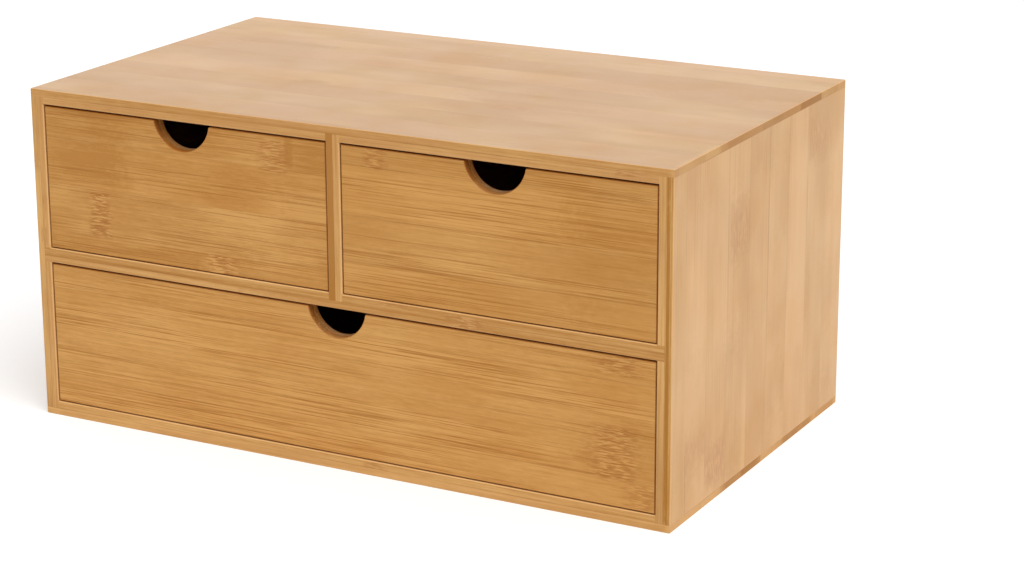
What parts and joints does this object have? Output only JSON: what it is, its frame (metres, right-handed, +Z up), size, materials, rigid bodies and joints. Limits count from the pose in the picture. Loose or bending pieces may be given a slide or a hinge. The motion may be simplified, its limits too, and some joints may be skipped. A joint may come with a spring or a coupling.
{
  "type": "desktop mini drawers",
  "caption": "Small desktop chest of laminated bamboo: two equal drawers side by side over one full-width drawer, each opened by a half-round finger notch.",
  "frame": {"origin": "middle of the footprint, on the surface that the case stands on", "axes": "+X along the width to the right as seen from the front, +Y from the drawer fronts to the back, +Z up"},
  "size_m": [0.33, 0.19, 0.16],
  "materials": {
    "case_bamboo": "clear satin lacquer",
    "front_bamboo": "clear satin lacquer",
    "drawer_box_bamboo": "sanded, matt",
    "brad_steel": "bright wire"
  },
  "bodies": {
    "case": {"top_panel": "case_bamboo", "bottom_panel": "case_bamboo", "left_side_panel": "case_bamboo", "right_side_panel": "case_bamboo", "shelf": "case_bamboo", "divider": "case_bamboo", "back_panel": "case_bamboo", "back_panel_brads": "brad_steel"},
    "left_drawer": {"left_drawer_front": "front_bamboo", "left_drawer_left_side": "drawer_box_bamboo", "left_drawer_right_side": "drawer_box_bamboo", "left_drawer_back": "drawer_box_bamboo", "left_drawer_bottom": "drawer_box_bamboo", "left_drawer_brads": "brad_steel"},
    "right_drawer": {"right_drawer_front": "front_bamboo", "right_drawer_left_side": "drawer_box_bamboo", "right_drawer_right_side": "drawer_box_bamboo", "right_drawer_back": "drawer_box_bamboo", "right_drawer_bottom": "drawer_box_bamboo", "right_drawer_brads": "brad_steel"},
    "bottom_drawer": {"bottom_drawer_front": "front_bamboo", "bottom_drawer_left_side": "drawer_box_bamboo", "bottom_drawer_right_side": "drawer_box_bamboo", "bottom_drawer_back": "drawer_box_bamboo", "bottom_drawer_bottom": "drawer_box_bamboo", "bottom_drawer_brads": "brad_steel"}
  },
  "joints": [
    {"name": "left_drawer_slide", "type": "slide", "parent": "case", "child": "left_drawer", "axis": [0, -1, 0], "range_m": [0, 0.165]},
    {"name": "right_drawer_slide", "type": "slide", "parent": "case", "child": "right_drawer", "axis": [0, -1, 0], "range_m": [0, 0.165]},
    {"name": "bottom_drawer_slide", "type": "slide", "parent": "case", "child": "bottom_drawer", "axis": [0, -1, 0], "range_m": [0, 0.165]}
  ]
}
